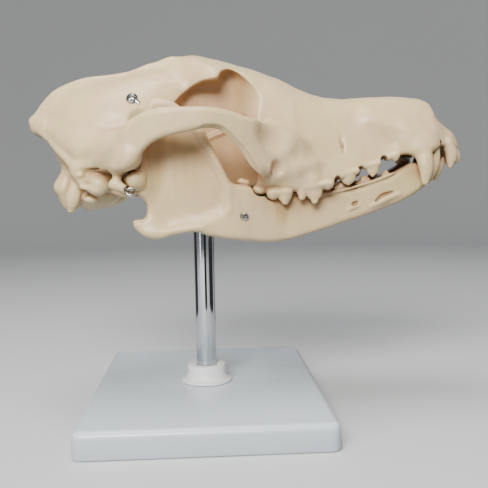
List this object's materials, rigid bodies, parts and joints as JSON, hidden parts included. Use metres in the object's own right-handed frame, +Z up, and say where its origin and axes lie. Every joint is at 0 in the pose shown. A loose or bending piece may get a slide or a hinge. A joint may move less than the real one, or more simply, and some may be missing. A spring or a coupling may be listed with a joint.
{
  "type": "dog skull teaching model on a rod stand",
  "caption": "Life-size cream plastic cast of a large dog's skull with lower jaw and teeth, held on a chrome rod above a white base.",
  "frame": {"origin": "centre of the base's underside, on the rod's axis", "axes": "+X to the nose, +Y to the animal's left, +Z up"},
  "size_m": [0.2299, 0.158, 0.1879],
  "materials": {
    "ivory_plastic": "smooth cream PVC cast, satin",
    "white_plastic": "moulded white plastic, softly glossy",
    "chromed_steel": "polished chrome plate",
    "nickel_steel": "small nickel-plated steel screws, worn"
  },
  "bodies": {
    "root": {"cranium": "ivory_plastic", "mandible": "ivory_plastic", "stand_base": "white_plastic", "stand_collar": "white_plastic", "stand_rod": "chromed_steel", "temple_screw_left": "nickel_steel", "temple_screw_right": "nickel_steel", "jaw_screw_left": "nickel_steel", "jaw_screw_right": "nickel_steel", "joint_eyelet_left": "nickel_steel", "joint_eyelet_right": "nickel_steel"}
  },
  "joints": []
}
